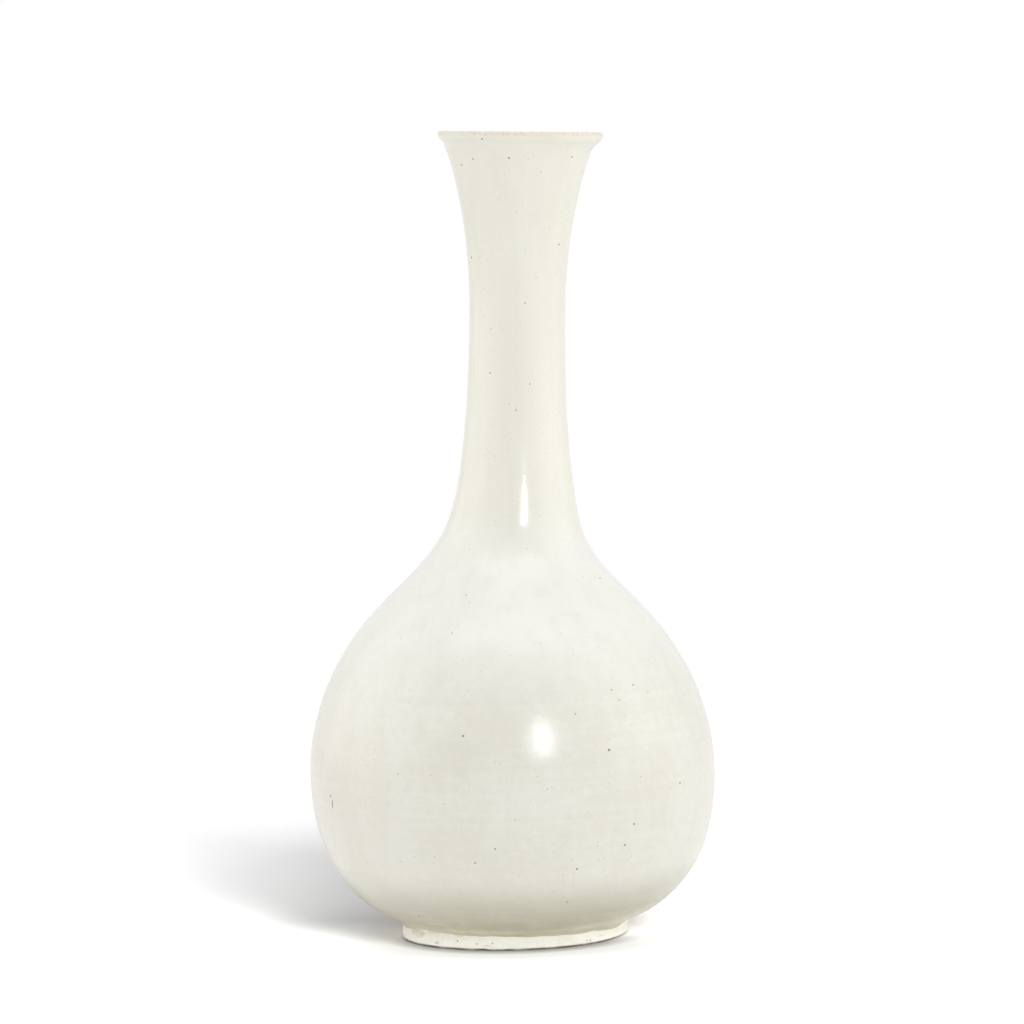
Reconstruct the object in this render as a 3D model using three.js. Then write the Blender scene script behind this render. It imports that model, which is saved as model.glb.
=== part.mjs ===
// A wheel-thrown bottle vase: a round body on a turned foot ring, and a slim neck that leans a little
// and opens into a rolled lip. It is built as a potter builds it. The lower bowl, the upper bowl and
// the neck are thrown one by one, their rims are cut to a groove and a tongue, and clay slip fills
// each joint. A lining glaze is then poured through the mouth, and an outer glaze covers the outside
// down to a line above the foot, which stays bare.
// Millimetres, +Z up. The origin is the centre of the foot on the table, and the neck leans to +X.
import * as THREE from "three";

// Foot ring, as turned from the lower bowl's clay
const footRadius = 36.4;
const footBevel = 0.6;
const footWallHeight = 3.6;
const footRingWidth = 6.2;
const footRingDraft = 1.2;
const recessDepth = 3.8;

// Outline of the clay. Each rise is measured from the place before it.
const coveWidth = 1.5;
const coveRise = 2.5;
const coveSlope = 21;
const bellyRadius = 65.5;
const bellyRise = 48.5;
const shoulderRadius = 42.8;
const shoulderRise = 52.3;
const shoulderSlope = 133.4;
const collarRadius = 21.5;
const collarRise = 26.6;
const collarSlope = 106;
const neckRadius = 15;
const neckRise = 68.7;
const flareRise = 53.2;
const flareSlope = 61;
const rimRadius = 26.2;
const lipOverhang = 2.7;
const lipRise = 4.9;
const lipEdgeWidth = 0.9;
const lipEdgeHeight = 1;

// Walls, measured square to the outline
const floorThickness = 6.4;
const bellyWall = 4.6;
const shoulderWall = 4.4;
const collarWall = 4;
const neckWall = 3.2;
const flareWall = 2.3;

// Joints between the three thrown pieces
const waistJointAboveBelly = 5.1;
const neckJointAboveShoulder = 14.8;
const slipThickness = 0.6;
const tongueDepth = 1.4;

// Lean of the neck, which was set on a little out of true
const leanStartBelowShoulder = 11.2;
const leanFullAboveCollar = 15.2;
const neckOffCentre = 1.8;
const neckLean = 2;

// Shift of the lower bowl, whose foot was turned a little off its middle
const bowlOffCentre = 0.7;
const bowlShiftRise = 4.1;
const bowlShiftEndAboveJoint = 10;

// Glaze
const glazeThickness = 0.4;
const glazeLineAboveFootWall = 0.7;

// How each curve of the wall follows the slope at its start and at its end, as a share of the distance
// that it covers, and the straight steps that it is drawn in. The inside of the wall has the same
// curves as the outside above the belly.
const coveCurve = { startPull: 0.25, endPull: 0.6, steps: 2 };
const bowlCurve = { startPull: 0.42, endPull: 0.355, steps: 8 };
const floorCurve = { startPull: 0.66, endPull: 0.42, steps: 7 };
const shoulderCurve = { startPull: 0.17, endPull: 0.495, steps: 5 };
const collarCurve = { startPull: 0.21, endPull: 0.3, steps: 4 };
const neckCurve = { startPull: 0.1, endPull: 0.66, steps: 5 };
const flareCurve = { startPull: 0.54, endPull: 0.06, steps: 5 };
const lipUnderCurve = { startPull: 0.3, endPull: 0.35, steps: 2 };
const lipEdgeCurve = { startPull: 0.41, endPull: 0.37, steps: 3 };
const lipInnerCurve = { startPull: 0.3, endPull: 0.3, steps: 2 };
const segmentsRound = 36;

// Slopes are in degrees above the outward direction.
const OUTWARD = 0;
const UPRIGHT = 90;
const INWARD = 180;
const toRadians = THREE.MathUtils.degToRad;
const point = (radius, height) => new THREE.Vector2(radius, height);

// The places of the outline, where one curve hands over to the next
const above = (below, rise, radius, slope) => ({ radius, height: below.height + rise, slope });
const footTop = { radius: footRadius, height: footWallHeight, slope: UPRIGHT };
const bowlStart = above(footTop, coveRise, footRadius + coveWidth, coveSlope);
const belly = above(bowlStart, bellyRise, bellyRadius, UPRIGHT);
const shoulder = above(belly, shoulderRise, shoulderRadius, shoulderSlope);
const collar = above(shoulder, collarRise, collarRadius, collarSlope);
const neckWaist = above(collar, neckRise, neckRadius, UPRIGHT);
const flareEnd = above(neckWaist, flareRise, rimRadius - lipOverhang, flareSlope);
const rimHeight = flareEnd.height + lipRise;
const lipSide = { radius: rimRadius, height: rimHeight - lipEdgeHeight, slope: UPRIGHT };
const lipTop = { radius: rimRadius - lipEdgeWidth, height: rimHeight, slope: INWARD };

// A smooth curve from one place of the wall to the next.
function bend(from, to, { startPull, endPull, steps }) {
  const start = point(from.radius, from.height);
  const end = point(to.radius, to.height);
  const span = start.distanceTo(end);
  const handle = (slope, pull) =>
    point(Math.cos(toRadians(slope)), Math.sin(toRadians(slope))).multiplyScalar(pull * span);
  const leaving = start.clone().add(handle(from.slope, startPull));
  const arriving = end.clone().sub(handle(to.slope, endPull));
  return new THREE.CubicBezierCurve(start, leaving, arriving, end).getPoints(steps);
}

// Joins stretches of outline that begin where the last one ended.
const chain = (...stretches) =>
  stretches.flatMap((stretch, i) => (i === 0 ? stretch : stretch.slice(1)));

// The unit normal at each point of an outline, pointing to the right of its run.
function normals(line) {
  return line.map((_, i) => {
    const before = line[Math.max(i - 1, 0)];
    const after = line[Math.min(i + 1, line.length - 1)];
    const run = after.clone().sub(before);
    return point(run.y, -run.x).normalize();
  });
}

// The outline with a point added where it crosses the given height.
function withHeight(line, height) {
  const i = line.findIndex((p, k) => k > 0 && (line[k - 1].y - height) * (p.y - height) < 0);
  if (i < 0) return line;
  const share = (height - line[i - 1].y) / (line[i].y - line[i - 1].y);
  const added = line[i - 1].clone().lerp(line[i], share);
  return [...line.slice(0, i), added, ...line.slice(i)];
}

// The points of an outline between two heights, both included.
const TOLERANCE = 1e-6;
const between = (line, low, high) =>
  line.filter((p) => p.y > low - TOLERANCE && p.y < high + TOLERANCE);

// The heights that need a point on both sides of the wall, because two pieces end there.
const waistJointHeight = belly.height + waistJointAboveBelly;
const neckJointHeight = shoulder.height + neckJointAboveShoulder;
const jointHeights = [waistJointHeight, neckJointHeight].flatMap((height) => [
  height - slipThickness / 2,
  height + slipThickness / 2,
]);

// Outside of the clay, from the foot's bevel up to the start of the lip's roll
const glazeLineHeight = footWallHeight + glazeLineAboveFootWall;
const bareOutside = chain(
  [point(footRadius, footBevel), point(footRadius, footWallHeight)],
  bend(footTop, bowlStart, coveCurve),
  bend(bowlStart, belly, bowlCurve),
  bend(belly, shoulder, shoulderCurve),
  bend(shoulder, collar, collarCurve),
  bend(collar, neckWaist, neckCurve),
  bend(neckWaist, flareEnd, flareCurve),
);
const outside = [glazeLineHeight, ...jointHeights].reduce(withHeight, bareOutside);

// Inside of the clay, from the middle of the floor up to the lip, at the wall's thickness from the
// outside
const inwards = ({ radius, height, slope }, wall) => ({
  radius: radius - wall * Math.sin(toRadians(slope)),
  height: height + wall * Math.cos(toRadians(slope)),
  slope,
});
const floorMiddle = { radius: 0, height: recessDepth + floorThickness, slope: OUTWARD };
const bellyInside = inwards(belly, bellyWall);
const shoulderInside = inwards(shoulder, shoulderWall);
const collarInside = inwards(collar, collarWall);
const neckInside = inwards(neckWaist, neckWall);
const flareInside = inwards(flareEnd, flareWall);
const bareInside = chain(
  bend(floorMiddle, bellyInside, floorCurve),
  bend(bellyInside, shoulderInside, shoulderCurve),
  bend(shoulderInside, collarInside, collarCurve),
  bend(collarInside, neckInside, neckCurve),
  bend(neckInside, flareInside, flareCurve),
);
const inside = jointHeights.reduce(withHeight, bareInside);

// The rolled lip between the two sides of the wall, from its underside round the rim
const lip = chain(
  bend(flareEnd, lipSide, lipUnderCurve),
  bend(lipSide, lipTop, lipEdgeCurve),
  bend(lipTop, { ...flareInside, slope: flareSlope + INWARD }, lipInnerCurve),
).slice(1, -1);

// The whole skin of the clay in one run, and the same run at the glaze's thickness from it
const skin = [...outside, ...lip, ...inside.toReversed()];
const skinNormals = normals(skin);
const glazed = skin.map((p, i) => p.clone().addScaledVector(skinNormals[i], glazeThickness));
glazed[glazed.length - 1].x = 0;

// The middle of the pot at a height, and how far its rings tip there.
const { smoothstep } = THREE.MathUtils;
const bowlShiftFullHeight = footWallHeight + bowlShiftRise;
const bowlShiftEndHeight = waistJointHeight + bowlShiftEndAboveJoint;
const leanStartHeight = shoulder.height - leanStartBelowShoulder;
const leanFullHeight = collar.height + leanFullAboveCollar;
function axisAt(height) {
  const inBowl =
    smoothstep(height, footWallHeight, bowlShiftFullHeight) *
    (1 - smoothstep(height, bowlShiftFullHeight, bowlShiftEndHeight));
  const inNeck = smoothstep(height, leanStartHeight, leanFullHeight);
  const lean = toRadians(neckLean);
  const neckDrift = neckOffCentre + (height - leanStartHeight) * Math.tan(lean);
  return { x: inBowl * bowlOffCentre + inNeck * neckDrift, tip: inNeck * lean };
}

// A turned solid from a closed profile, on the leaning axis. A profile that starts and ends on the
// axis closes there. Each four-sided patch is split along the same diagonal whichever way its profile
// runs, so two pieces that share a stretch of outline meet exactly.
function turned(profile) {
  const positions = [];
  const rings = profile.map(({ x: radius, y: height }) => {
    const { x, tip } = axisAt(height);
    const first = positions.length / 3;
    const count = radius === 0 ? 1 : segmentsRound;
    for (let j = 0; j < count; j += 1) {
      const angle = (2 * Math.PI * j) / segmentsRound;
      const reach = radius * Math.cos(angle);
      positions.push(
        x + reach * Math.cos(tip),
        radius * Math.sin(angle),
        height - reach * Math.sin(tip),
      );
    }
    return { radius, height, vertex: (j) => first + (j % count) };
  });

  const faces = [];
  const openEnded = profile[0].x === 0;
  const last = openEnded ? rings.length - 1 : rings.length;
  for (let i = 0; i < last; i += 1) {
    const a = rings[i];
    const b = rings[(i + 1) % rings.length];
    const aIsLower = a.height < b.height || (a.height === b.height && a.radius < b.radius);
    for (let j = 0; j < segmentsRound; j += 1) {
      const [p, q, r, s] = [a.vertex(j), a.vertex(j + 1), b.vertex(j + 1), b.vertex(j)];
      if (a.radius === 0) faces.push(p, r, s);
      else if (b.radius === 0) faces.push(p, q, r);
      else if (aIsLower) faces.push(p, q, r, p, r, s);
      else faces.push(p, q, s, q, r, s);
    }
  }

  const geometry = new THREE.BufferGeometry();
  geometry.setAttribute("position", new THREE.Float32BufferAttribute(positions, 3));
  geometry.setIndex(faces);
  geometry.computeVertexNormals();
  return geometry;
}

// The face of a luted joint at one side of its slip, from the outside in. The lower piece has the
// groove and the upper one the tongue, and the slip between them has the same thickness all along.
function jointFace(height) {
  const outer = outside.find((p) => Math.abs(p.y - height) < TOLERANCE);
  const inner = inside.find((p) => Math.abs(p.y - height) < TOLERANCE);
  const tip = point((outer.x + inner.x) / 2, height - tongueDepth);
  return [outer, tip, inner];
}
const [waistLow, waistHigh, neckLow, neckHigh] = jointHeights;
const waistGroove = jointFace(waistLow);
const waistTongue = jointFace(waistHigh);
const neckGroove = jointFace(neckLow);
const neckTongue = jointFace(neckHigh);

// The ring of slip between a groove and a tongue, which shows at both sides of the wall.
const slipRing = ([lowOuter, grooveTip], [highOuter, tongueTip]) =>
  turned([
    ...between(outside, lowOuter.y, highOuter.y),
    tongueTip,
    ...between(inside, lowOuter.y, highOuter.y).toReversed(),
    grooveTip,
  ]);

// Underside: the flat ring that stands on the table, and the shallow recess turned out inside it
const ringInnerRadius = footRadius - footRingWidth;
const underside = [
  point(0, recessDepth),
  point(ringInnerRadius - footRingDraft, recessDepth),
  point(ringInnerRadius, 0),
  point(footRadius - footBevel, 0),
];

const lowerBowl = turned([
  ...underside,
  ...between(outside, footBevel, waistLow).slice(0, -1),
  ...waistGroove,
  ...between(inside, floorMiddle.height, waistLow).toReversed().slice(1),
]);
const upperBowl = turned([
  ...waistTongue.toReversed(),
  ...between(outside, waistHigh, neckLow).slice(1, -1),
  ...neckGroove,
  ...between(inside, waistHigh, neckLow).toReversed().slice(1, -1),
]);
const neckPiece = turned([
  ...neckTongue.toReversed(),
  ...between(outside, neckHigh, flareEnd.height).slice(1),
  ...lip,
  ...between(inside, neckHigh, flareInside.height).toReversed().slice(0, -1),
]);

// A coat of glaze over the skin from one of its points to another.
function coat(from, to) {
  const under = skin.slice(from, to + 1).toReversed();
  const over = glazed.slice(from, to + 1);
  return turned(over[over.length - 1].x === 0 ? [...under, ...over] : [...over, ...under]);
}
const glazeStart = skin.findIndex((p) => Math.abs(p.y - glazeLineHeight) < TOLERANCE);
const lipEnd = outside.length + lip.length - 1;

const stoneware = new THREE.MeshStandardMaterial({ color: 0xe6e0d0, roughness: 0.85, metalness: 0 });
const slip = new THREE.MeshStandardMaterial({ color: 0xdcd4c2, roughness: 0.9, metalness: 0 });
const outerGlaze = new THREE.MeshStandardMaterial({ color: 0xeceade, roughness: 0.25, metalness: 0 });
const liningGlaze = new THREE.MeshStandardMaterial({ color: 0xe4e1d2, roughness: 0.3, metalness: 0 });

const vase = new THREE.Group();
function add(name, geometry, material) {
  const mesh = new THREE.Mesh(geometry, material);
  mesh.name = name;
  vase.add(mesh);
}
add("lower_bowl", lowerBowl, stoneware);
add("waist_slip_joint", slipRing(waistGroove, waistTongue), slip);
add("upper_bowl", upperBowl, stoneware);
add("neck_slip_joint", slipRing(neckGroove, neckTongue), slip);
add("neck", neckPiece, stoneware);
add("lining_glaze", coat(lipEnd, skin.length - 1), liningGlaze);
add("outer_glaze", coat(glazeStart, lipEnd), outerGlaze);

export default vase;
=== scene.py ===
# A hand-thrown bottle vase in ivory-glazed stoneware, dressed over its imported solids.
# Metres, +Z up, with the middle of the foot at the origin and the neck leaning to +X.
import math

import bpy
from mathutils import Matrix, Vector, noise
from mathutils.geometry import interpolate_bezier


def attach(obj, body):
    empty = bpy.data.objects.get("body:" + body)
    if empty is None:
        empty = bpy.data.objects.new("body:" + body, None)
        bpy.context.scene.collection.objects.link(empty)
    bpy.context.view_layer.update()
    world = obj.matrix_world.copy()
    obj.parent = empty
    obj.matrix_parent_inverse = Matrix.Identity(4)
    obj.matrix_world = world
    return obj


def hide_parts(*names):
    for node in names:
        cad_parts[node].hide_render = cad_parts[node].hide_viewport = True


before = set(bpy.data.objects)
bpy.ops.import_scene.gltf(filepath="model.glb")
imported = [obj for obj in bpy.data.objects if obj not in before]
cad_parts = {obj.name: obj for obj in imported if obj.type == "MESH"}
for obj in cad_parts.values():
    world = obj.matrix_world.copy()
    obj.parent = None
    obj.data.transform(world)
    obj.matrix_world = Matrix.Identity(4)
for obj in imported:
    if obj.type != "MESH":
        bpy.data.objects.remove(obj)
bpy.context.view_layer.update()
mm = 0.001

# Camera. A long lens stands far back at the height of the rim and looks down a little, and its
# picture of 1024 pixels each way hangs slightly out of level.
picture_middle = 512
focal_pixels = 5344
camera_place = Vector((2.13, -1727, 260.7)) * mm
camera_pitch = math.radians(4.0714)
camera_roll = math.radians(1.5)
bpy.ops.object.select_all(action="DESELECT")
bpy.ops.object.camera_add(location=camera_place)
camera = bpy.context.object
camera.matrix_world = (
    Matrix.Translation(camera_place)
    @ Matrix.Rotation(math.radians(90) - camera_pitch, 4, "X")
    @ Matrix.Rotation(-camera_roll, 4, "Z")
)
camera.data.lens = camera.data.sensor_width * focal_pixels / (2 * picture_middle)
bpy.context.scene.camera = camera
bpy.context.scene.view_settings.view_transform = "Standard"


def seen_on(piece, x, y):
    """The place on a piece that shows at a pixel of the photograph."""
    across, up = (x - picture_middle) / focal_pixels, (picture_middle - y) / focal_pixels
    ray = camera.matrix_world.to_3x3() @ Vector((across, up, -1))
    found, place, _, _ = piece.ray_cast(camera_place, ray.normalized())
    if not found:
        raise ValueError(f"{piece.name} doesn't show at pixel {x}, {y}")
    return place


# Lower bowl. The lower half of the body, thrown in pale stoneware as an open bowl. Its foot ring is
# turned from the same clay when it is leather-hard, and stays bare. Its rim has a groove for the joint.
foot_radius = 36.4 * mm
foot_wall_height = 3.6 * mm
foot_ring_width = 6.2 * mm
foot_ring_draft = 1.2 * mm
recess_depth = 3.8 * mm
floor_thickness = 6.4 * mm
belly_wall = 4.6 * mm
shoulder_wall = 4.4 * mm
foot_top = (foot_radius, foot_wall_height, 90)
bowl_start = (37.9 * mm, 6.1 * mm, 21)
belly = (65.5 * mm, 54.6 * mm, 90)
shoulder = (42.8 * mm, 106.9 * mm, 133.4)
waist_joint = 59.7 * mm
slip_thickness = 0.6 * mm
tongue_depth = 1.4 * mm
hair = 0.0001 * mm


def curve(start, end, pulls, step):
    """A smooth curve of the wall between two places. A place is a radius, a height and a slope in
    degrees above the outward direction, and a pull is how far the curve follows that slope."""
    knots = [Vector(start[:2]), Vector(end[:2])]
    span = (knots[1] - knots[0]).length
    handles = [
        Vector((math.cos(math.radians(slope)), math.sin(math.radians(slope)))) * pull * span
        for slope, pull in ((start[2], pulls[0]), (end[2], pulls[1]))
    ]
    points = max(3, round(span / step) + 1)
    return interpolate_bezier(knots[0], knots[0] + handles[0], knots[1] - handles[1], knots[1], points)


def inwards(place, wall):
    """The place on the inside of a wall that is square to a place on its outside."""
    radius, height, slope = place
    lean = math.radians(slope)
    return (radius - wall * math.sin(lean), height + wall * math.cos(lean), slope)


def point_at(line, height):
    """The point of a rising outline at a height."""
    for low, high in zip(line, line[1:]):
        if low.y - hair <= height <= high.y + hair and high.y > low.y + hair:
            return low.lerp(high, (height - low.y) / (high.y - low.y))
    raise ValueError(f"the outline doesn't reach the height {height}")


def part_of(line, low, high):
    """The part of a rising outline between two heights."""
    middle = [p for p in line if low + hair < p.y < high - hair]
    return [point_at(line, low), *middle, point_at(line, high)]


def smoothstep(low, high, value):
    share = min(max((value - low) / (high - low), 0), 1)
    return share * share * (3 - 2 * share)


def joint_face(joint, side):
    """A luted joint's face on one side of its slip, from the outside of the wall to the inside."""
    height = joint + side * slip_thickness / 2
    outer, inner = point_at(outside, height), point_at(inside, height)
    tip = Vector(((outer.x + inner.x) / 2, height - tongue_depth))
    return [outer, tip, inner]


def turn(name, profile, segments):
    """A piece turned on the wheel from a profile, which starts and ends on the axis or closes."""
    bpy.ops.object.select_all(action="DESELECT")
    bpy.ops.mesh.primitive_plane_add(size=mm)
    piece = bpy.context.object
    piece.name = piece.data.name = name
    bpy.ops.object.mode_set(mode="EDIT")
    bpy.ops.mesh.merge(type="CENTER")
    bpy.ops.transform.translate(value=(profile[0].x, 0, profile[0].y))
    closing = [profile[0]] if profile[0].x > 0 else []
    for here, there in zip(profile, [*profile[1:], *closing]):
        step = (there.x - here.x, 0, there.y - here.y)
        bpy.ops.mesh.extrude_vertices_move(TRANSFORM_OT_translate={"value": step})
    bpy.ops.object.mode_set(mode="OBJECT")
    wheel = piece.modifiers.new("wheel", "SCREW")
    wheel.steps = wheel.render_steps = segments
    wheel.use_merge_vertices = True
    wheel.merge_threshold = 0.002 * mm
    bpy.ops.object.modifier_apply(modifier=wheel.name)
    bpy.ops.object.mode_set(mode="EDIT")
    bpy.ops.mesh.select_all(action="SELECT")
    bpy.ops.mesh.remove_doubles(threshold=0.002 * mm)
    bpy.ops.mesh.normals_make_consistent(inside=False)
    bpy.ops.object.mode_set(mode="OBJECT")
    return piece


def touch(piece, hand):
    """Moves each point of a turned piece to the radius and height that a hand gives it."""
    for vertex in piece.data.vertices:
        x, y, height = vertex.co
        angle = math.atan2(y, x)
        radius, height = hand(math.hypot(x, y), angle, height)
        vertex.co = (radius * math.cos(angle), radius * math.sin(angle), height)


# The pot's own axis. The foot was turned a little off the bowl's middle, and the neck was set on a
# little out of true, so the rings of the wall drift sideways and tip with the neck.
bowl_off_centre = 0.7 * mm
bowl_shift_full, bowl_shift_end = 7.7 * mm, 69.7 * mm
neck_off_centre = 1.8 * mm
neck_lean = math.radians(2)
lean_start, lean_full = 95.7 * mm, 148.7 * mm


def settle(piece):
    """Sets a turned piece on the pot's own axis, and finishes its shading."""
    for vertex in piece.data.vertices:
        x, y, height = vertex.co
        in_bowl = smoothstep(foot_wall_height, bowl_shift_full, height)
        in_bowl *= 1 - smoothstep(bowl_shift_full, bowl_shift_end, height)
        in_neck = smoothstep(lean_start, lean_full, height)
        drift = neck_off_centre + (height - lean_start) * math.tan(neck_lean)
        tip = in_neck * neck_lean
        middle = in_bowl * bowl_off_centre + in_neck * drift
        vertex.co = (middle + x * math.cos(tip), y, height - x * math.sin(tip))
    bpy.ops.object.select_all(action="DESELECT")
    piece.select_set(True)
    bpy.context.view_layer.objects.active = piece
    bpy.ops.object.shade_smooth_by_angle(angle=math.radians(38))
    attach(piece, "root")


foot_rounding = [(0, 0.8), (0.05, 0.55), (0.18, 0.34), (0.4, 0.18), (0.7, 0.06), (1.1, 0)]
foot_corner = [Vector((foot_radius - inset * mm, height * mm)) for inset, height in foot_rounding]
foot_wall = [Vector((foot_radius, height * mm)) for height in (0.8, 1.2, 1.6, 2, 2.4, 2.8, 3.2)]
outside = [*foot_wall, *curve(foot_top, bowl_start, (0.25, 0.6), 0.15 * mm)]
outside += curve(bowl_start, belly, (0.42, 0.355), 1.3 * mm)[1:]
outside += curve(belly, shoulder, (0.17, 0.495), 2.1 * mm)[1:]
floor_middle = (0, recess_depth + floor_thickness, 0)
belly_inside = inwards(belly, belly_wall)
shoulder_inside = inwards(shoulder, shoulder_wall)
inside = curve(floor_middle, belly_inside, (0.66, 0.42), 2.4 * mm)
inside += curve(belly_inside, shoulder_inside, (0.17, 0.495), 2.4 * mm)[1:]
ring_inner = foot_radius - foot_ring_width
recess_side = curve((ring_inner - foot_ring_draft, recess_depth, -30), (ring_inner, 0, -70), (0.3, 0.3), mm)
underside = [
    *[Vector((radius * mm, recess_depth)) for radius in range(0, 29, 2)],
    *recess_side,
    *[Vector((ring_inner + inset * mm, 0)) for inset in (1.2, 2.4, 3.6, 4.5)],
    *reversed(foot_corner[1:]),
]
waist_groove = joint_face(waist_joint, -1)
lower_bowl = turn(
    "lower_bowl_clay",
    [
        *underside,
        *part_of(outside, foot_wall[0].y, waist_groove[0].y),
        waist_groove[1],
        *reversed(part_of(inside, floor_middle[1], waist_groove[2].y)),
    ],
    480,
)
# Dents that the foot took on its lower edge, and lumps of clay stuck to it. Each is an angle round
# the foot, a height on its wall, a reach along the wall and how far it stands in or out.
foot_dents = {
    "chip at the front": (-107.5, 0.3, 1.9, -0.6),
    "bruise beside the chip": (-102.5, 0.8, 1.5, 0.3),
    "lump at the left": (-135.8, 1.4, 1.1, 0.35),
    "lump at the right of the front": (-67, 3, 1, 0.2),
    "nick at the left": (-158, 0.3, 1.4, -0.3),
    "nick at the back": (74, 0.3, 2.2, -0.45),
    "nick at the right of the back": (24, 0.4, 1.5, -0.3),
}
foot_worn_middle, foot_worn_reach, foot_worn_depth = math.radians(-24), math.radians(38), 0.6 * mm
foot_full_middle, foot_full_reach, foot_full_depth = math.radians(180), math.radians(70), 0.55 * mm


def turn_apart(angle, middle):
    """How far an angle is from another one, the short way round."""
    return abs((angle - middle + math.pi) % math.tau - math.pi)


def knock_foot(radius, angle, height):
    """The unevenness, the worn side and the dents of the foot ring."""
    if height > 5.2 * mm or radius < ring_inner - 0.5 * mm:
        return radius, height
    place = Vector((radius * math.cos(angle), radius * math.sin(angle), height))
    outer = smoothstep(ring_inner + 2 * mm, foot_radius - 0.8 * mm, radius)
    free = 1 - smoothstep(3.1 * mm, 4.9 * mm, height)
    out = (noise.noise(place / (7 * mm)) - 0.4) * 0.1 * mm + noise.noise(place / (1.6 * mm)) * 0.035 * mm
    worn = 1 - smoothstep(0, foot_worn_reach, turn_apart(angle, foot_worn_middle))
    out -= worn * foot_worn_depth * (1 - smoothstep(0, 2.2 * mm, height)) ** 1.5
    full = 1 - smoothstep(0, foot_full_reach, turn_apart(angle, foot_full_middle))
    out += full * foot_full_depth
    lift = (noise.noise(place / (2.5 * mm)) + 0.35) * 0.08 * mm
    for degrees, middle, reach, depth in foot_dents.values():
        along = turn_apart(angle, math.radians(degrees)) * foot_radius / mm
        dent = depth * mm * (1 - smoothstep(0, 1, math.hypot(along, (height / mm - middle) * 1.3) / reach))
        out += dent
        lift += max(-dent, 0) * 0.6
    lift *= 1 - smoothstep(0, 0.6 * mm, height)
    return radius + out * outer * free, max(height + lift, 0)


touch(lower_bowl, knock_foot)
settle(lower_bowl)
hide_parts("lower_bowl")


def add_node(tree, kind, inputs, **settings):
    """A new node with its settings, and with a value or another node's socket on each input."""
    made = tree.nodes.new(kind)
    for name, value in settings.items():
        setattr(made, name, value)
    for name, value in inputs.items():
        if isinstance(value, bpy.types.NodeSocket):
            tree.links.new(value, made.inputs[name])
        else:
            made.inputs[name].default_value = value
    return made


def new_group(name, inputs, output):
    """An empty node group with its inputs and one output, its input sockets and its output node."""
    group = bpy.data.node_groups.new(name, "ShaderNodeTree")
    for socket in inputs:
        kind = "Float" if socket in ("Spacing", "Size", "Share") else "Vector"
        group.interface.new_socket(socket, in_out="INPUT", socket_type=f"NodeSocket{kind}")
    group.interface.new_socket(output, in_out="OUTPUT", socket_type="NodeSocketFloat")
    return group, group.nodes.new("NodeGroupInput").outputs, group.nodes.new("NodeGroupOutput")


def sum_node(tree, operation, *values):
    return add_node(tree, "ShaderNodeMath", dict(enumerate(values)), operation=operation).outputs[0]


def vector_node(tree, operation, *values):
    return add_node(tree, "ShaderNodeVectorMath", dict(enumerate(values)), operation=operation)


def mixed(tree, mask, low, high):
    """Two colours mixed by a mask."""
    return add_node(tree, "ShaderNodeMix", {0: mask, 6: low, 7: high}, data_type="RGBA").outputs[2]


def ramp(tree, value, low, high, to_low=0.0, to_high=1.0):
    """A value carried smoothly from one range to another."""
    inputs = {"Value": value, "From Min": low, "From Max": high, "To Min": to_low, "To Max": to_high}
    return add_node(tree, "ShaderNodeMapRange", inputs, interpolation_type="SMOOTHSTEP").outputs[0]


def grain(tree, vector, size, detail=2.0):
    """Noise whose features are about the given size."""
    inputs = {"Vector": vector, "Scale": 0.5 / size, "Detail": detail}
    return add_node(tree, "ShaderNodeTexNoise", inputs).outputs["Fac"]


def place_group(tree, group, inputs):
    made = add_node(tree, "ShaderNodeGroup", {}, node_tree=group)
    for name, value in inputs.items():
        if isinstance(value, bpy.types.NodeSocket):
            tree.links.new(value, made.inputs[name])
        else:
            made.inputs[name].default_value = value
    return made.outputs[0]


def new_material(name):
    """A material with its tree, its shader and the object's coordinates."""
    material = bpy.data.materials.new(name)
    material.use_nodes = True
    tree = material.node_tree
    where = add_node(tree, "ShaderNodeTexCoord", {}).outputs["Object"]
    return material, tree, tree.nodes["Principled BSDF"], where


# Specks of iron that burned through in the kiln: spots in the middles of random cells, of which only
# a share hold one, and which differ in size and darkness.
specks, given, result = new_group("specks", ["Vector", "Spacing", "Size", "Share"], "Mask")
scale = sum_node(specks, "DIVIDE", 1.0, given["Spacing"])
cells = add_node(specks, "ShaderNodeTexVoronoi", {"Vector": given["Vector"], "Scale": scale})
chance = add_node(specks, "ShaderNodeSeparateColor", {"Color": cells.outputs["Color"]}).outputs
reach = sum_node(specks, "MULTIPLY", given["Size"], sum_node(specks, "ADD", chance["Green"], 0.5))
near = ramp(specks, cells.outputs["Distance"], reach, sum_node(specks, "MULTIPLY", reach, 0.4))
held = sum_node(specks, "LESS_THAN", chance["Red"], given["Share"])
tone = sum_node(specks, "MULTIPLY", held, ramp(specks, chance["Blue"], 0.0, 1.0, 0.3, 1.0))
specks.links.new(sum_node(specks, "MULTIPLY", near, tone), result.inputs["Mask"])

# Lines that fingers and turning tools leave round the pot: noise that is long round it and short up it.
wheel_lines, given, result = new_group("wheel lines", ["Vector", "Spacing"], "Height")
upwards = sum_node(wheel_lines, "DIVIDE", 1.0, given["Spacing"])
stretch = add_node(wheel_lines, "ShaderNodeCombineXYZ", {0: 12.0, 1: 12.0, 2: upwards}).outputs[0]
squeezed = vector_node(wheel_lines, "MULTIPLY", given["Vector"], stretch).outputs[0]
lines = add_node(wheel_lines, "ShaderNodeTexNoise", {"Vector": squeezed, "Scale": 1.0, "Detail": 3.0})
wheel_lines.links.new(lines.outputs["Fac"], result.inputs["Height"])

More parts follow.
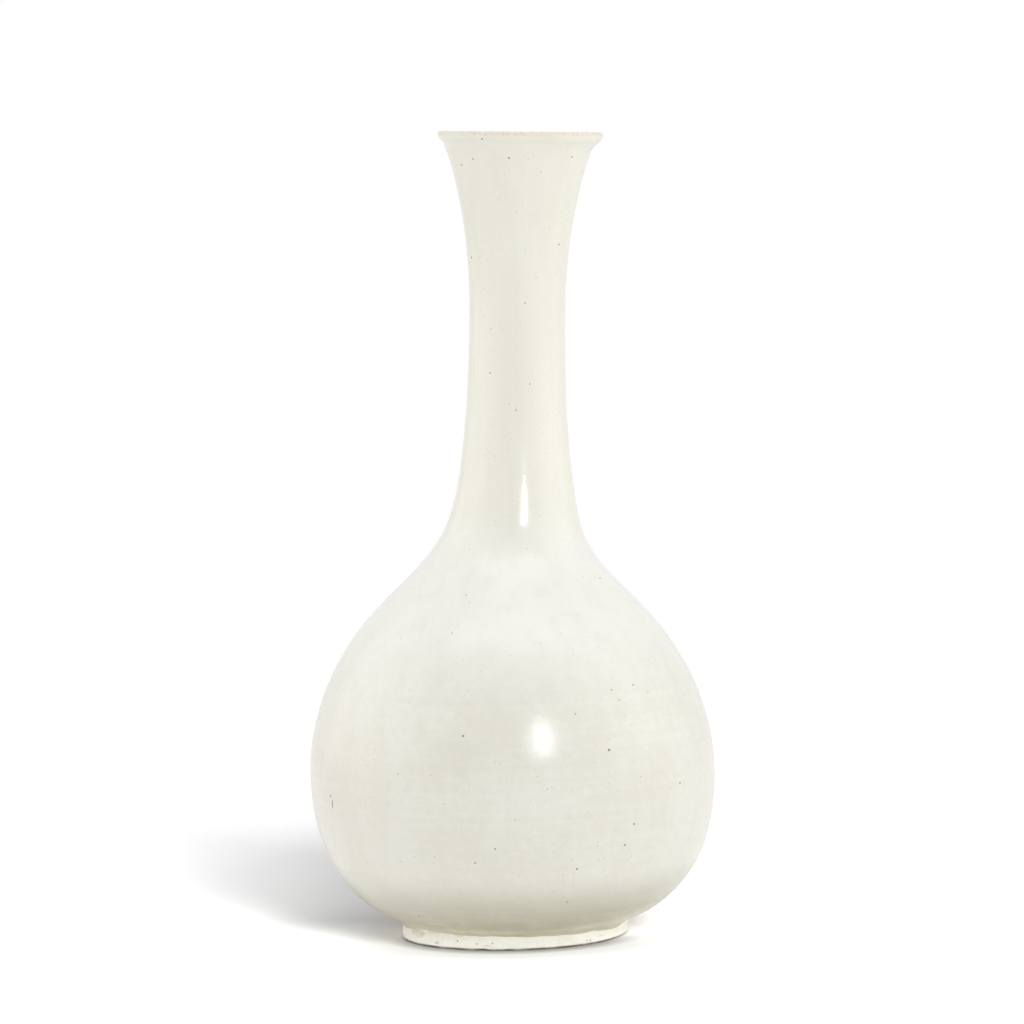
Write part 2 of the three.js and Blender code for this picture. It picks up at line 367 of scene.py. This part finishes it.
# One mark at a known place: a speck, a stain or a scratch, as a blot with its own reach each way.
mark, given, result = new_group("mark", ["Vector", "Place", "Reach"], "Mask")
offset = vector_node(mark, "SUBTRACT", given["Vector"], given["Place"]).outputs[0]
far = vector_node(mark, "LENGTH", vector_node(mark, "DIVIDE", offset, given["Reach"]).outputs[0])
mark.links.new(ramp(mark, far.outputs["Value"], 1.0, 0.45), result.inputs["Mask"])


def marked(tree, where, piece, marks):
    """The mask of marks on a piece. Each mark is the pixel of the photograph at which it shows, and
    its reach in millimetres across and up."""
    mask = 0.0
    for x, y, across, up in marks.values():
        reach = Vector((across, max(across, 0.8), up)) * mm
        blot = {"Vector": where, "Place": seen_on(piece, x, y), "Reach": reach}
        mask = sum_node(tree, "MAXIMUM", mask, place_group(tree, mark, blot))
    return mask


# Bare stoneware: cream, matt and a little sandy, with turning lines, brown scorching and iron specks,
# and near black along its lowest edge where it stands on the table, partly soil and partly painted contact shade.
stoneware, tree, shader, where = new_material("bare stoneware")
foot_stains = {
    "tan patch at the left": (418, 932, 5.5, 2.2),
    "tan patch under the glaze": (434, 932, 4.5, 0.8),
    "tan patch left of the front": (459, 935, 2.6, 0.8),
    "brown line in the chip": (477, 944, 0.8, 0.5),
    "brown line beside the chip": (487, 946, 1.5, 0.3),
    "tan lump": (437, 942.5, 1.2, 0.8),
    "tan smear at the right": (601, 935.5, 2.2, 0.3),
}
foot_specks = {
    "at the left": (457.5, 941, 0.3, 0.3),
    "over the left one": (457, 934, 0.35, 0.25),
    "by the front": (492.6, 943.4, 0.3, 0.3),
    "at the right": (590.3, 940.3, 0.35, 0.3),
    "beside the right one": (587, 940.6, 0.3, 0.25),
}
height = add_node(tree, "ShaderNodeSeparateXYZ", {"Vector": where}).outputs["Z"]
sand = grain(tree, where, 0.5 * mm, 3.0)
blotch = ramp(tree, grain(tree, where, 6 * mm, 5.0), 0.52, 0.72)
# Soil and painted contact shade: the lowest millimetre of the outer foot turns near black.
soil_and_contact_shade = ramp(tree, grain(tree, where, 2.5 * mm, 3.0), 0.25, 0.6, 0.6, 1.0)
soil_and_contact_shade = sum_node(tree, "MULTIPLY", ramp(tree, height, 1.0 * mm, 0.4 * mm), soil_and_contact_shade)
flat = vector_node(tree, "MULTIPLY", where, (1, 1, 0)).outputs[0]
outwards = vector_node(tree, "LENGTH", flat).outputs["Value"]
soil_and_contact_shade = sum_node(tree, "MULTIPLY", soil_and_contact_shade,
                  ramp(tree, outwards, foot_radius - 3.5 * mm, foot_radius - 1.5 * mm, 0.3, 1.0))
iron = place_group(tree, specks, {"Vector": where, "Spacing": 2.4 * mm, "Size": 0.1, "Share": 0.3})
iron = sum_node(tree, "MAXIMUM", sum_node(tree, "MULTIPLY", iron, 0.6), marked(tree, where, lower_bowl, foot_specks))
patchy = ramp(tree, grain(tree, where, 1.3 * mm, 4.0), 0.35, 0.62, 0.35, 1.0)
tan = sum_node(tree, "MULTIPLY", marked(tree, where, lower_bowl, foot_stains), patchy)
colour = mixed(tree, ramp(tree, sand, 0.3, 0.7), (0.93, 0.91, 0.82, 1), (0.98, 0.97, 0.90, 1))
colour = mixed(tree, sum_node(tree, "MULTIPLY", blotch, 0.22), colour, (0.74, 0.64, 0.42, 1))
colour = mixed(tree, sum_node(tree, "MULTIPLY", tan, 0.6), colour, (0.57, 0.48, 0.29, 1))
colour = mixed(tree, soil_and_contact_shade, colour, (0.13, 0.10, 0.05, 1))
colour = mixed(tree, sum_node(tree, "MULTIPLY", iron, 0.85), colour, (0.12, 0.09, 0.06, 1))
tree.links.new(colour, shader.inputs["Base Color"])
tree.links.new(ramp(tree, sand, 0.2, 0.8, 0.65, 0.88), shader.inputs["Roughness"])
ridges = place_group(tree, wheel_lines, {"Vector": where, "Spacing": 0.9 * mm})
relief = sum_node(tree, "ADD", sum_node(tree, "MULTIPLY", sand, 0.6), ridges)
bump = add_node(tree, "ShaderNodeBump", {"Height": relief, "Strength": 0.3, "Distance": 0.2 * mm})
tree.links.new(bump.outputs["Normal"], shader.inputs["Normal"])
lower_bowl.data.materials.append(stoneware)

# Waist joint. Slip of the same clay fills the groove between the two bowls, and dries and fires with
# them.
waist_tongue = joint_face(waist_joint, 1)
joint_slip, tree, shader, where = new_material("joint slip")
paste = grain(tree, where, 1.5 * mm, 4.0)
colour = mixed(tree, ramp(tree, paste, 0.3, 0.7), (0.64, 0.58, 0.47, 1), (0.76, 0.70, 0.59, 1))
tree.links.new(colour, shader.inputs["Base Color"])
tree.links.new(ramp(tree, paste, 0.2, 0.8, 0.75, 0.95), shader.inputs["Roughness"])
bump = add_node(tree, "ShaderNodeBump", {"Height": paste, "Strength": 0.3, "Distance": 0.2 * mm})
tree.links.new(bump.outputs["Normal"], shader.inputs["Normal"])


def fill_joint(name, node, groove, tongue):
    """The ring of slip between a groove and a tongue, which shows at both sides of the wall."""
    ring = turn(name, [groove[0], *tongue, groove[2], groove[1]], 240)
    settle(ring)
    ring.data.materials.append(joint_slip)
    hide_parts(node)


fill_joint("waist_slip", "waist_slip_joint", waist_groove, waist_tongue)

# Upper bowl. The upper half of the body, thrown as a second bowl in the same stoneware and luted on
# upside down, tongue into groove.
collar = (21.5 * mm, 133.5 * mm, 106)
collar_wall = 4 * mm
neck_joint = 121.7 * mm
collar_inside = inwards(collar, collar_wall)
outside += curve(shoulder, collar, (0.21, 0.3), 1.3 * mm)[1:]
inside += curve(shoulder_inside, collar_inside, (0.21, 0.3), 2.4 * mm)[1:]
neck_groove = joint_face(neck_joint, -1)
upper_bowl = turn(
    "upper_bowl_clay",
    [
        waist_tongue[1],
        *part_of(outside, waist_tongue[0].y, neck_groove[0].y),
        neck_groove[1],
        *reversed(part_of(inside, waist_tongue[2].y, neck_groove[2].y)),
    ],
    300,
)
settle(upper_bowl)
upper_bowl.data.materials.append(stoneware)
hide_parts("upper_bowl")

# Neck joint. Slip in the groove between the shoulder and the neck, made as the waist joint is.
neck_tongue = joint_face(neck_joint, 1)
fill_joint("neck_slip", "neck_slip_joint", neck_groove, neck_tongue)

# Neck. A slim stoneware neck, thrown by itself and set on leaning a little. Its mouth flares, and its
# edge is rolled over more on the side that it leans to.
neck_waist = (15.2 * mm, 202.2 * mm, 90)
neck_wall = 3.2 * mm
flare_end = (23.5 * mm, 255.4 * mm, 58)
flare_wall = 2.3 * mm
rim_radius, rim_height = 26.2 * mm, 260.25 * mm
lip_side = (rim_radius - 0.1 * mm, rim_height - 1.2 * mm, 56)
lip_top = (rim_radius - 0.4 * mm, rim_height, 180)
neck_inside = inwards(neck_waist, neck_wall)
flare_inside = inwards(flare_end, flare_wall)
outside += curve(collar, neck_waist, (0.1, 0.66), 2.1 * mm)[1:]
outside += curve(neck_waist, flare_end, (0.54, 0.06), 1.3 * mm)[1:]
inside += curve(collar_inside, neck_inside, (0.1, 0.66), 2.4 * mm)[1:]
inside += curve(neck_inside, flare_inside, (0.54, 0.06), 2.4 * mm)[1:]
lip_outer = curve(flare_end, lip_side, (0.3, 0.3), 0.4 * mm)[1:]
lip_outer += curve(lip_side, lip_top, (0.42, 0.45), 0.15 * mm)[1:]
lip_inner = curve(lip_top, (*flare_inside[:2], flare_inside[2] + 180), (0.3, 0.3), 0.4 * mm)[1:-1]
neck = turn(
    "neck_clay",
    [
        neck_tongue[1],
        *part_of(outside, neck_tongue[0].y, flare_end[1]),
        *lip_outer,
        *lip_inner,
        *reversed(part_of(inside, neck_tongue[2].y, flare_inside[1])),
    ],
    240,
)
lip_lean = 0.4 * mm
lip_step_from, lip_step_to = 4.8 * mm, 3.5 * mm
lip_bead_below, lip_bead_reach, lip_bead_depth = 2.6 * mm, 1.2 * mm, 0.4 * mm
lip_groove_below, lip_groove_reach, lip_groove_depth = 3.5 * mm, 0.8 * mm, 0.28 * mm


def roll_lip(radius, angle, height):
    """The mouth's edge. It reaches out over the flare in a soft step on the side that the neck leans
    to, and lies back on the other side."""
    below = rim_height - height
    in_lip = 1 - smoothstep(lip_step_to, lip_step_from, below)
    wavy = noise.noise(Vector((math.cos(angle), math.sin(angle), 0)) * 2.5) * 0.1 * mm
    bead = math.exp(-(((below - lip_bead_below) / lip_bead_reach) ** 2)) * lip_bead_depth
    bead *= smoothstep(0, 1, math.cos(angle))
    groove = math.exp(-(((below - lip_groove_below) / lip_groove_reach) ** 2)) * lip_groove_depth
    outside = smoothstep(0, 0.8 * mm, radius - (lip_top[0] - below * 0.75))
    return radius + in_lip * (lip_lean * math.cos(angle) + wavy) + (bead - groove) * outside, height


touch(neck, roll_lip)
settle(neck)
neck.data.materials.append(stoneware)
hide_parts("neck")

# Lining glaze. Ivory glaze poured in through the mouth and out again, an even coat over the whole
# inside and up over the rolled edge.
glaze_thickness = 0.37 * mm
skin = [*outside, *lip_outer, *lip_inner, *reversed(inside)]
runs = [after - before for before, after in zip([skin[0], *skin], [*skin[1:], skin[-1]])]
glazed = [p + Vector((run.y, -run.x)).normalized() * glaze_thickness for p, run in zip(skin, runs)]
glazed[-1].x = 0
lip_end = len(outside) + len(lip_outer) - 1
lining = turn("lining_glaze_coat", [*reversed(skin[lip_end:]), *glazed[lip_end:]], 240)


def pour_lining(radius, angle, height):
    """The lining follows the lip, and is a little thicker and thinner where it ran."""
    place = Vector((radius * math.cos(angle), radius * math.sin(angle), height / 3))
    radius, height = roll_lip(radius, angle, height)
    return radius + noise.noise(place / (9 * mm)) * 0.05 * mm * smoothstep(0, 4 * mm, radius), height


touch(lining, pour_lining)
settle(lining)
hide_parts("lining_glaze")


def speckled(tree, where, colour, share):
    """A glaze's colour with fine and coarse iron specks, and the mask of both."""
    fine = place_group(tree, specks, {"Vector": where, "Spacing": 0.9 * mm, "Size": 0.2, "Share": share})
    soft = place_group(tree, specks, {"Vector": where, "Spacing": 2.0 * mm, "Size": 0.16, "Share": share})
    coarse = place_group(tree, specks, {"Vector": where, "Spacing": 3.6 * mm, "Size": 0.07, "Share": 0.3})
    colour = mixed(tree, sum_node(tree, "MULTIPLY", fine, 0.4), colour, (0.42, 0.36, 0.25, 1))
    colour = mixed(tree, sum_node(tree, "MULTIPLY", soft, 0.38), colour, (0.46, 0.42, 0.33, 1))
    colour = mixed(tree, sum_node(tree, "MULTIPLY", coarse, 0.7), colour, (0.16, 0.12, 0.08, 1))
    return colour, sum_node(tree, "MAXIMUM", fine, coarse)


lining_glaze, tree, shader, where = new_material("lining glaze")
cloud = grain(tree, where, 14 * mm, 3.0)
colour = mixed(tree, ramp(tree, cloud, 0.3, 0.7), (0.80, 0.782, 0.675, 1), (0.86, 0.845, 0.755, 1))
colour, pits = speckled(tree, where, colour, 0.2)
tree.links.new(colour, shader.inputs["Base Color"])
tree.links.new(ramp(tree, cloud, 0.3, 0.7, 0.24, 0.34), shader.inputs["Roughness"])
ripple = place_group(tree, wheel_lines, {"Vector": where, "Spacing": 3.5 * mm})
relief = sum_node(tree, "SUBTRACT", ripple, sum_node(tree, "MULTIPLY", pits, 0.5))
bump = add_node(tree, "ShaderNodeBump", {"Height": relief, "Strength": 0.3, "Distance": 0.2 * mm})
tree.links.new(bump.outputs["Normal"], shader.inputs["Normal"])
lining.data.materials.append(lining_glaze)

# Outer glaze. A warm ivory-white feldspar glaze, dipped and wiped off above the foot. It is glossy,
# finely pitted and peppered with iron, and ends in a soft, slightly thicker roll.
glaze_line = foot_wall_height + 1.2 * mm
glaze_start = next(i for i, p in enumerate(outside) if p.y >= glaze_line)
under = [*skin[glaze_start:lip_end:5], skin[lip_end]]
over = []
run_from_edge = 0
for i in range(glaze_start, lip_end + 1):
    run_from_edge += (skin[i] - skin[i - 1]).length if i > glaze_start else 0
    rounding = math.sqrt(1 - (1 - min(run_from_edge / (0.5 * mm), 1)) ** 2)
    roll = 1 + 0.3 * math.exp(-(((run_from_edge / mm - 0.8) / 0.5) ** 2))
    over.append(skin[i] + (glazed[i] - skin[i]) * rounding * roll)


def spaced(line, step):
    """The same line with its points at even steps."""
    run, points = 0, [line[0]]
    for here, there in zip(line, line[1:]):
        while run + (there - here).length >= step:
            here = here.lerp(there, (step - run) / (there - here).length)
            points.append(here)
            run = 0
        run += (there - here).length
    return [*points, line[-1]]


def ribbed(line, step, reach):
    """The line as a rib smooths it, with each point drawn to the middle of those within its reach."""
    def drawn(points):
        count = range(len(points))
        weights = [[math.exp(-(((i - j) * step / reach) ** 2) / 2) for j in count] for i in count]
        return [sum((p * w for p, w in zip(points, row)), Vector((0, 0))) / sum(row) for row in weights]

    smooth = drawn(line)
    return [s + rest for s, rest in zip(smooth, drawn([p - s for p, s in zip(line, smooth)]))]


rib_step = 1.4 * mm
ribbed_from, ribbed_to = 7.2 * mm, 252.7 * mm
edge_part = [p for p in over if p.y < ribbed_from]
lip_part = [p for p in over[len(edge_part):] if p.y > ribbed_to]
wall = spaced(over[len(edge_part):len(over) - len(lip_part)], rib_step)
over = edge_part
for i, (p, smooth) in enumerate(zip(wall, ribbed(wall, rib_step, 6 * mm))):
    free = smoothstep(0, 12, i) * smoothstep(0, 12, len(wall) - 1 - i)
    over.append(p.lerp(smooth, free))
over += lip_part
outer = turn("outer_glaze_coat", [*over[1:], *reversed(under)], 360)
# How far the glaze's lower edge rises or runs down at places round the foot: an angle, a reach in
# degrees and a rise.
glaze_edge_waves = {
    "wiped high at the left": (-139, 14, 0.6),
    "run at the left end": (180, 20, -0.5),
    "run at the front": (-80, 16, -0.4),
    "run right of the front": (-58, 9, -0.6),
    "wiped high at the right": (-8, 12, 0.7),
    "run at the right": (-34, 13, -0.9),
    "wiped high at the back": (68, 18, 0.6),
    "run at the back": (118, 12, -0.7),
}


def wipe_glaze(radius, angle, height):
    """The wavy lower edge, the lip, and the slow unevenness that throwing and dipping leave."""
    around = Vector((math.cos(angle), math.sin(angle), 0)) * radius
    if height < 9 * mm:
        wave = 0.25 * noise.noise(around / (5 * mm)) - 0.1
        for degrees, reach, rise in glaze_edge_waves.values():
            wave += rise * math.exp(-((math.degrees(turn_apart(angle, math.radians(degrees))) / reach) ** 2))
        moved = max(height + wave * mm * (1 - smoothstep(glaze_line, 9 * mm, height)), 0.7 * mm)
        radius += point_at(outside, moved).x - point_at(outside, max(height, 0.7 * mm)).x
        height = moved
    place = around + Vector((0, 0, height))
    slow = noise.noise(place / (42 * mm)) * 0.1 - 0.08
    ring = noise.noise(Vector((around.x, around.y, height * 7)) / (38 * mm)) * 0.05 - 0.04
    free = smoothstep(6 * mm, 20 * mm, height) * (1 - smoothstep(225 * mm, 250 * mm, height))
    return roll_lip(radius + (slow + ring) * mm * free, angle, height)


touch(outer, wipe_glaze)
settle(outer)
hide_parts("outer_glaze")

outer_glaze, tree, shader, where = new_material("outer glaze")
iron_spots = {
    "widest, right of the highlight": (609, 750, 0.52, 0.52),
    "left of the highlight": (463, 736, 0.42, 0.42),
    "flare, in the middle": (509, 158, 0.42, 0.42),
    "flare, at the right": (572, 157, 0.32, 0.32),
    "flare, near the lip": (482, 139, 0.38, 0.34),
    "flare, at the left edge": (461.5, 165, 0.3, 0.34),
    "flare, left of the middle": (473, 159, 0.3, 0.28),
    "neck, upper left": (471.5, 257.5, 0.32, 0.4),
    "neck, upper right": (559, 244.6, 0.32, 0.32),
    "neck, under the upper right": (525, 303, 0.26, 0.3),
    "neck, middle left": (490, 373, 0.3, 0.3),
    "neck, middle": (530, 384, 0.26, 0.26),
    "neck, lower middle": (516, 410, 0.26, 0.3),
    "shoulder, left": (466, 595, 0.3, 0.2),
    "shoulder, right": (600, 578, 0.28, 0.28),
    "body, upper right": (633, 685, 0.32, 0.32),
    "body, beside the upper right": (611.5, 690, 0.3, 0.3),
    "body, under the upper right": (619, 700, 0.24, 0.34),
    "body, right of the highlight": (575.5, 714, 0.3, 0.3),
    "body, far right": (680, 783, 0.32, 0.32),
    "body, lower right": (634, 824, 0.38, 0.38),
    "bowl, left": (475, 863, 0.34, 0.34),
    "bowl, upper left": (495, 849, 0.34, 0.34),
    "bowl, right": (577, 869, 0.42, 0.42),
    "bowl, far right": (625, 845, 0.4, 0.4),
    "bowl, above the foot": (567, 902, 0.34, 0.3),
    "bowl, low at the left": (419, 916, 0.4, 0.3),
    "scratch's head": (330.5, 796, 0.4, 0.4),
    "scratch": (332.5, 804, 0.22, 2.2),
}
yellow_spots = {
    "under the highlight": (516, 802, 0.42, 0.36),
    "beside it": (531, 801, 0.36, 0.36),
    "neck, left": (484.5, 316, 0.3, 0.9),
    "neck, over the left one": (485, 288, 0.3, 0.7),
    "neck, a stain": (537.5, 277.5, 0.5, 0.5),
    "neck, a thin run": (473.7, 368, 0.3, 7),
    "body, a dash": (621, 774.5, 0.8, 0.25),
    "body, a streak": (401, 638, 0.3, 1.8),
    "over the foot, at the left": (433, 924, 4, 0.7),
    "over the foot, left of the front": (462, 928, 3.5, 0.6),
    "over the foot, at the right": (592, 925, 4, 0.8),
}
leaning_up = (math.sin(neck_lean) * math.cos(neck_lean), 0, math.cos(neck_lean) ** 2)
lean_offset = (neck_off_centre - lean_start * math.tan(neck_lean)) * leaning_up[0]
up_neck = vector_node(tree, "DOT_PRODUCT", where, leaning_up).outputs["Value"]
ragged = sum_node(tree, "MULTIPLY", grain(tree, where, 1.1 * mm, 4.0), 1.3 * mm)
worn_from = rim_height + glaze_thickness + lean_offset
worn = ramp(tree, sum_node(tree, "ADD", up_neck, ragged), worn_from - 0.9 * mm, worn_from - 0.2 * mm)
height = add_node(tree, "ShaderNodeSeparateXYZ", {"Vector": where}).outputs["Z"]
# Darker towards the foot: partly thin glaze over the clay, partly painted shade under the belly.
low = ramp(tree, height, 28 * mm, 7 * mm)
cloud = grain(tree, where, 16 * mm, 4.0)
ripple = place_group(tree, wheel_lines, {"Vector": where, "Spacing": 1.5 * mm})
uneven = sum_node(tree, "ADD", sum_node(tree, "MULTIPLY", cloud, 0.5), sum_node(tree, "MULTIPLY", ripple, 0.2))
for size, share in ((0.35 * mm, 0.2), (1.3 * mm, 0.25)):
    uneven = sum_node(tree, "ADD", uneven, sum_node(tree, "MULTIPLY", grain(tree, where, size), share))
colour = mixed(tree, ramp(tree, uneven, 0.45, 0.7), (0.80, 0.775, 0.681, 1), (0.85, 0.83, 0.742, 1))
colour = mixed(tree, ramp(tree, height, 100 * mm, 150 * mm, 0.0, 0.8), colour, (0.89, 0.865, 0.753, 1))
# Whiter on the shoulder: partly thicker pooled glaze, partly a painted sheen of the overhead box.
thick_glaze_and_sheen = sum_node(tree, "MULTIPLY", ramp(tree, height, 75 * mm, 108 * mm), ramp(tree, height, 145 * mm, 118 * mm))
colour = mixed(tree, sum_node(tree, "MULTIPLY", thick_glaze_and_sheen, 0.7), colour, (0.885, 0.878, 0.83, 1))
# The low bowl's dark colour is partly thin glaze and partly painted shade where the belly hides it from the light.
thin = sum_node(tree, "MULTIPLY", low, ramp(tree, ripple, 0.35, 0.65, 0.88, 1.0))
colour = mixed(tree, thin, colour, (0.385, 0.355, 0.25, 1))
uneven = sum_node(tree, "MULTIPLY", grain(tree, where, 6 * mm, 4.0), 5 * mm)
last = ramp(tree, sum_node(tree, "ADD", height, uneven), glaze_line + 5.2 * mm, glaze_line + 2 * mm, 0.0, 0.5)
colour = mixed(tree, last, colour, (0.67, 0.61, 0.45, 1))
upright = vector_node(tree, "MULTIPLY", where, (1, 1, 0.06)).outputs[0]
runs = ramp(tree, grain(tree, upright, 3 * mm, 3.0), 0.4, 0.7)
colour = mixed(tree, sum_node(tree, "MULTIPLY", runs, 0.14), colour, (0.70, 0.66, 0.55, 1))
colour, pits = speckled(tree, where, colour, 0.3)
yellowed = sum_node(tree, "MULTIPLY", marked(tree, where, outer, yellow_spots), 0.27)
colour = mixed(tree, yellowed, colour, (0.62, 0.52, 0.28, 1))
burned = marked(tree, where, outer, iron_spots)
colour = mixed(tree, sum_node(tree, "MULTIPLY", burned, 0.85), colour, (0.10, 0.08, 0.05, 1))
edge = ramp(tree, grain(tree, where, 0.5 * mm, 3.0), 0.3, 0.6)
edge = mixed(tree, edge, (0.75, 0.67, 0.51, 1), (0.81, 0.77, 0.65, 1))
edge_iron = place_group(tree, specks, {"Vector": where, "Spacing": 1.2 * mm, "Size": 0.2, "Share": 0.5})
edge = mixed(tree, sum_node(tree, "MULTIPLY", edge_iron, 0.7), edge, (0.24, 0.15, 0.08, 1))
colour = mixed(tree, worn, colour, edge)
tree.links.new(colour, shader.inputs["Base Color"])
gloss = ramp(tree, grain(tree, where, 7 * mm, 3.0), 0.3, 0.7, 0.2, 0.25)
gloss = sum_node(tree, "MULTIPLY", gloss, ramp(tree, height, 105 * mm, 130 * mm, 1.0, 0.75))
gloss = sum_node(tree, "ADD", gloss, sum_node(tree, "MULTIPLY", worn, 0.25))
tree.links.new(gloss, shader.inputs["Roughness"])
peel = sum_node(tree, "ADD", grain(tree, where, 0.45 * mm), sum_node(tree, "MULTIPLY", grain(tree, where, mm), 0.6))
relief = sum_node(tree, "ADD", sum_node(tree, "MULTIPLY", ripple, 0.5), sum_node(tree, "MULTIPLY", peel, 0.4))
sunk = sum_node(tree, "MULTIPLY", sum_node(tree, "MAXIMUM", pits, burned), 0.4)
relief = sum_node(tree, "SUBTRACT", relief, sunk)
bump = add_node(tree, "ShaderNodeBump", {"Height": relief, "Strength": 0.3, "Distance": 0.2 * mm})
tree.links.new(bump.outputs["Normal"], shader.inputs["Normal"])
outer.data.materials.append(outer_glaze)

# Table. A wide white sweep, which takes the pot's soft shadow and clears to pure white round it.
# Where the camera sees it, painted shadow darkens it as well: close to the foot, in a faint tail in front,
# in a core behind the pot's left side, and a little further back.
floor_size = 12
bpy.ops.object.select_all(action="DESELECT")
bpy.ops.mesh.primitive_plane_add(size=floor_size)
table = bpy.context.object
table.name = "table"
sweep, tree, shader, where = new_material("white sweep")
tree.nodes.remove(shader)
output = tree.nodes["Material Output"]
seen = add_node(tree, "ShaderNodeLightPath", {}).outputs
mirrored = sum_node(tree, "MAXIMUM", seen["Is Glossy Ray"], seen["Is Transmission Ray"])
straight = sum_node(tree, "MAXIMUM", seen["Is Camera Ray"], sum_node(tree, "MULTIPLY", mirrored, 0.35))
distance = vector_node(tree, "LENGTH", where).outputs["Value"]
away = ramp(tree, distance, 0.45, 0.85)
# For light bounced onto the pot, the sweep is lighter close to the foot: a painted pool of light that brightens the
# foot and the low bowl.
thrown = mixed(tree, ramp(tree, distance, 40 * mm, 75 * mm), (0.92, 0.92, 0.92, 1), (0.61, 0.61, 0.61, 1))
bounce = add_node(tree, "ShaderNodeBsdfDiffuse", {"Color": thrown})
way = vector_node(tree, "NORMALIZE", where).outputs[0]
# Painted contact shadow and a painted shadow tail on the front side of the foot.
lit_side = ramp(tree, vector_node(tree, "DOT_PRODUCT", way, (-0.05, -1, 0)).outputs["Value"], -0.1, 0.8)
painted_shadow_tail = sum_node(tree, "MULTIPLY", ramp(tree, distance, foot_radius + 42 * mm, foot_radius + 10 * mm), lit_side)
painted_contact_shadow = sum_node(tree, "MULTIPLY", ramp(tree, distance, foot_radius + 9 * mm, foot_radius), lit_side)
spot = add_node(tree, "ShaderNodeSeparateXYZ", {"Vector": where}).outputs
# A painted shadow core behind the pot's left side.
beside = sum_node(tree, "MULTIPLY", ramp(tree, spot["X"], -95 * mm, -45 * mm), ramp(tree, spot["X"], 30 * mm, 0.0))
behind = sum_node(tree, "MULTIPLY", ramp(tree, spot["Y"], 5 * mm, 45 * mm),
                  ramp(tree, spot["Y"], 50 * mm, 300 * mm, 1.0, 0.6))
painted_shadow_core = sum_node(tree, "MULTIPLY", beside, behind)
# Painted shade: a little darker further back, then the painted shadow core, tail and contact shadow.
shade = mixed(tree, ramp(tree, spot["Y"], 20 * mm, 120 * mm), (1, 1, 1, 1), (0.88, 0.88, 0.88, 1))
shade = mixed(tree, painted_shadow_core, shade, (0.62, 0.62, 0.62, 1))
shade = mixed(tree, painted_shadow_tail, shade, (0.78, 0.78, 0.78, 1))
shade = mixed(tree, painted_contact_shadow, shade, (0.34, 0.34, 0.34, 1))
shaded = add_node(tree, "ShaderNodeBsdfDiffuse", {"Color": shade})
clear = add_node(tree, "ShaderNodeEmission", {"Color": (1, 1, 1, 1), "Strength": 1.0})
white = add_node(tree, "ShaderNodeMixShader", {0: away, 1: shaded.outputs[0], 2: clear.outputs[0]})
surface = add_node(tree, "ShaderNodeMixShader", {0: straight, 1: bounce.outputs[0], 2: white.outputs[0]})
tree.links.new(surface.outputs[0], output.inputs["Surface"])
table.data.materials.append(sweep)

# Table lamp. It stands where the key box does, and lights only the table, so that the pot's shadow
# falls firmly to one side while the pot itself stays evenly lit.
bpy.ops.object.select_all(action="DESELECT")
bpy.ops.object.light_add(type="SUN", location=(0.6, -2, 1))
table_lamp = bpy.context.object
table_lamp.name = table_lamp.data.name = "table lamp"
table_lamp.rotation_euler = (math.radians(90 - 22), 0, math.radians(21))
table_lamp.data.angle = math.radians(22)
table_lamp.data.energy = 4.2
only_table = bpy.data.collections.new("lit by the table lamp")
only_table.objects.link(table)
table_lamp.light_linking.receiver_collection = only_table

# Studio. White surroundings light the pot softly, with a glow at each side. They are full white
# where they are seen, and a little dimmer on the camera's side where they are mirrored.
world_front, world_rest = 0.3, 0.72
mirrored_front, mirrored_rest = 0.25, 0.92
side_glows = {"left": (-99, 20, 0.88), "right": (86, 20, 0.68)}
world = bpy.data.worlds.new("white studio")
bpy.context.scene.world = world
world.use_nodes = True
tree = world.node_tree
seen = add_node(tree, "ShaderNodeLightPath", {}).outputs
around = add_node(tree, "ShaderNodeTexCoord", {}).outputs["Generated"]


def way_to(azimuth, elevation):
    """A direction, with its azimuth in degrees to the right of the camera."""
    right, rise = math.radians(azimuth), math.radians(elevation)
    return Vector((math.sin(right) * math.cos(rise), -math.cos(right) * math.cos(rise), math.sin(rise)))


glow = 0.0
for azimuth, elevation, radiance in side_glows.values():
    near = vector_node(tree, "DOT_PRODUCT", around, way_to(azimuth, elevation)).outputs["Value"]
    glow = sum_node(tree, "ADD", glow, ramp(tree, near, 0.74, 0.985, 0.0, radiance))
behind = add_node(tree, "ShaderNodeSeparateXYZ", {"Vector": around}).outputs["Y"]
mirrored = ramp(tree, behind, -0.95, -0.45, mirrored_front, mirrored_rest)
straight = sum_node(tree, "MAXIMUM", seen["Is Glossy Ray"], seen["Is Transmission Ray"])
soft = ramp(tree, behind, -1.0, -0.3, world_front, world_rest)
strength = add_node(tree, "ShaderNodeMix", {0: straight, 2: soft, 3: mirrored}).outputs[0]
strength = sum_node(tree, "ADD", strength, glow)
strength = add_node(tree, "ShaderNodeMix", {0: seen["Is Camera Ray"], 2: strength, 3: 1.0}).outputs[0]
tree.links.new(strength, tree.nodes["Background"].inputs["Strength"])
tree.nodes["Background"].inputs["Color"].default_value = (1, 1, 1, 1)

# Soft boxes. One small bright box by the camera, and a wide one overhead.
lamp_target = Vector((0, 0, 0.13))


def hang_lamp(name, azimuth, elevation, distance, width, height, radiance):
    """A soft box that faces the pot."""
    way = way_to(azimuth, elevation)
    bpy.ops.object.select_all(action="DESELECT")
    bpy.ops.object.light_add(type="AREA", location=lamp_target + way * distance)
    lamp = bpy.context.object
    lamp.name = lamp.data.name = name
    lamp.rotation_euler = (-way).to_track_quat("-Z", "Y").to_euler()
    lamp.data.shape = "RECTANGLE"
    lamp.data.size, lamp.data.size_y = width, height
    lamp.data.energy = radiance * math.pi * width * height


hang_lamp("key box", 18.2, 20.4, 2, 0.37, 0.56, 13.6)
bpy.context.object.data.shape = "ELLIPSE"
bpy.context.object.data.color = (0.92, 0.96, 1)
hang_lamp("overhead box", 0, 74, 1.15, 1.4, 0.38, 1.1)
